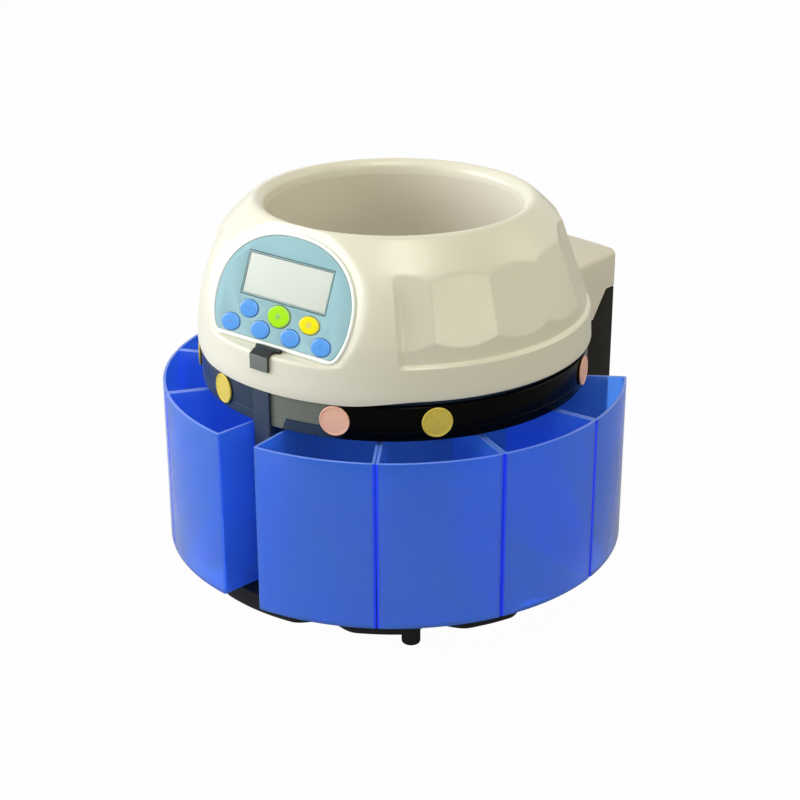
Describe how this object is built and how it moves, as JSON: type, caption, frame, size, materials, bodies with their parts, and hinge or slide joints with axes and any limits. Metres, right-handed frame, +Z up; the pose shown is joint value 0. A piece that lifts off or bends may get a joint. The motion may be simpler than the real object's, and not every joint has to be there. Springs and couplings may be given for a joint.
{
  "type": "coin counter",
  "caption": "Round electronic coin sorter: domed hopper over a feed disc, sloping key panel with a display, front latch, lift-up lid and pull-out wedge trays around a drum.",
  "frame": {"origin": "on the surface that it stands on, below the middle of the round body", "axes": "+X to the user's right, -Y to the front where the keys are, +Z up"},
  "size_m": [0.33, 0.3301, 0.2806],
  "materials": {
    "housing": "smooth cream",
    "hopper": "smooth beige",
    "cover": "smooth beige",
    "panel": "printed sheet",
    "display": "clear",
    "blue_key": "satin",
    "green_key": "satin",
    "yellow_key": "satin",
    "black": "glossy black",
    "slate": "dark slate",
    "tray": "translucent blue plastic",
    "rubber": "matt",
    "steel": "plain",
    "bronze": "sintered",
    "gold": "coin gold",
    "copper": "coin copper",
    "board": "circuit board",
    "gear": "moulded"
  },
  "bodies": {
    "base": {"base_plate": "black", "foot_front_right": "rubber", "foot_front_left": "rubber", "foot_rear_right": "rubber", "foot_rear_left": "rubber", "inner_drum": "slate", "gear_deck": "slate", "front_pillar": "slate", "chute_ring": "black", "sorting_deck": "slate", "coin_badge_right_1": "copper", "coin_badge_right_2": "gold", "coin_badge_right_4": "copper", "coin_badge_left_1": "gold", "coin_badge_left_2": "gold", "coin_badge_left_3": "gold", "coin_badge_left_4": "gold", "rear_post": "black", "hinge_pin_right": "steel", "hinge_pin_left": "steel", "power_supply": "steel", "motor": "steel", "idler_pin": "steel", "rear_screw_right": "steel", "rear_screw_left": "steel", "main_board": "board", "coin_sensor": "black", "power_inlet": "black", "switch_frame": "black", "shaft_bush": "bronze"},
    "lid": {"upper_housing": "housing", "rear_cover": "cover", "hopper_liner": "hopper", "control_panel": "panel", "display_window": "display", "display_module": "display", "keypad_board": "board"},
    "latch": {"front_latch": "black"},
    "disc": {"feed_disc": "steel", "drive_shaft": "steel", "main_gear": "gear", "hub_cap": "black"},
    "idler": {"idler_gear": "gear"},
    "pinion": {"motor_pinion": "bronze"},
    "rocker": {"switch_rocker": "black"},
    "tray_right_1": {"tray_right_1": "tray"},
    "tray_right_2": {"tray_right_2": "tray"},
    "tray_right_3": {"tray_right_3": "tray"},
    "tray_right_4": {"tray_right_4": "tray"},
    "tray_left_1": {"tray_left_1": "tray"},
    "tray_left_2": {"tray_left_2": "tray"},
    "tray_left_3": {"tray_left_3": "tray"},
    "tray_left_4": {"tray_left_4": "tray"},
    "key_blue_1": {"key_blue_1": "blue_key"},
    "key_blue_2": {"key_blue_2": "blue_key"},
    "key_blue_3": {"key_blue_3": "blue_key"},
    "key_blue_4": {"key_blue_4": "blue_key"},
    "key_blue_5": {"key_blue_5": "blue_key"},
    "key_green": {"key_green": "green_key"},
    "key_yellow": {"key_yellow": "yellow_key"}
  },
  "joints": [
    {"name": "lid_hinge", "type": "hinge", "parent": "base", "child": "lid", "pos_m": [0, 0.16, 0.19], "axis": [-1, 0, 0], "range_deg": [0, 85]},
    {"name": "front_latch_turn", "type": "hinge", "parent": "lid", "child": "latch", "pos_m": [0, -0.13, 0.2056], "axis": [-1, 0, 0], "range_deg": [0, 10], "stiffness_Nm_per_rad": 0.05, "springref_deg": -5.73},
    {"name": "disc_spin", "type": "hinge", "parent": "base", "child": "disc", "pos_m": [0, 0, 0.1885], "axis": [0, 0, 1], "continuous": true},
    {"name": "idler_spin", "type": "hinge", "parent": "base", "child": "idler", "pos_m": [0.01875, -0.03248, 0.151], "axis": [0, 0, 1], "continuous": true},
    {"name": "motor_spin", "type": "hinge", "parent": "base", "child": "pinion", "pos_m": [0.04173, -0.01319, 0.151], "axis": [0, 0, 1], "continuous": true},
    {"name": "switch_turn", "type": "hinge", "parent": "base", "child": "rocker", "pos_m": [0.045, 0.159, 0.06], "axis": [1, 0, 0], "range_deg": [0, 16]},
    {"name": "tray_right_1_slide", "type": "slide", "parent": "base", "child": "tray_right_1", "axis": [0.3433, -0.9392, 0], "range_m": [0, 0.08]},
    {"name": "tray_right_2_slide", "type": "slide", "parent": "base", "child": "tray_right_2", "axis": [0.7613, -0.6484, 0], "range_m": [0, 0.08]},
    {"name": "tray_right_3_slide", "type": "slide", "parent": "base", "child": "tray_right_3", "axis": [0.9819, -0.1894, 0], "range_m": [0, 0.08]},
    {"name": "tray_right_4_slide", "type": "slide", "parent": "base", "child": "tray_right_4", "axis": [0.9479, 0.3186, 0], "range_m": [0, 0.08]},
    {"name": "tray_left_1_slide", "type": "slide", "parent": "base", "child": "tray_left_1", "axis": [-0.3433, -0.9392, 0], "range_m": [0, 0.08]},
    {"name": "tray_left_2_slide", "type": "slide", "parent": "base", "child": "tray_left_2", "axis": [-0.7613, -0.6484, 0], "range_m": [0, 0.08]},
    {"name": "tray_left_3_slide", "type": "slide", "parent": "base", "child": "tray_left_3", "axis": [-0.9819, -0.1894, 0], "range_m": [0, 0.08]},
    {"name": "tray_left_4_slide", "type": "slide", "parent": "base", "child": "tray_left_4", "axis": [-0.9479, 0.3186, 0], "range_m": [0, 0.08]},
    {"name": "key_blue_1_press", "type": "slide", "parent": "lid", "child": "key_blue_1", "axis": [0, 0.9304, -0.3665], "range_m": [0, 0.0008], "stiffness_N_per_m": 400, "springref_m": -0.001},
    {"name": "key_blue_2_press", "type": "slide", "parent": "lid", "child": "key_blue_2", "axis": [0, 0.9304, -0.3665], "range_m": [0, 0.0008], "stiffness_N_per_m": 400, "springref_m": -0.001},
    {"name": "key_blue_3_press", "type": "slide", "parent": "lid", "child": "key_blue_3", "axis": [0, 0.9304, -0.3665], "range_m": [0, 0.0008], "stiffness_N_per_m": 400, "springref_m": -0.001},
    {"name": "key_blue_4_press", "type": "slide", "parent": "lid", "child": "key_blue_4", "axis": [0, 0.9304, -0.3665], "range_m": [0, 0.0008], "stiffness_N_per_m": 400, "springref_m": -0.001},
    {"name": "key_blue_5_press", "type": "slide", "parent": "lid", "child": "key_blue_5", "axis": [0, 0.9304, -0.3665], "range_m": [0, 0.0008], "stiffness_N_per_m": 400, "springref_m": -0.001},
    {"name": "key_green_press", "type": "slide", "parent": "lid", "child": "key_green", "axis": [0, 0.9304, -0.3665], "range_m": [0, 0.0008], "stiffness_N_per_m": 400, "springref_m": -0.001},
    {"name": "key_yellow_press", "type": "slide", "parent": "lid", "child": "key_yellow", "axis": [0, 0.9304, -0.3665], "range_m": [0, 0.0008], "stiffness_N_per_m": 400, "springref_m": -0.001}
  ],
  "couplings": [
    {"joint": "idler_spin", "follows": "disc_spin", "ratio": -4},
    {"joint": "motor_spin", "follows": "disc_spin", "ratio": 12}
  ]
}
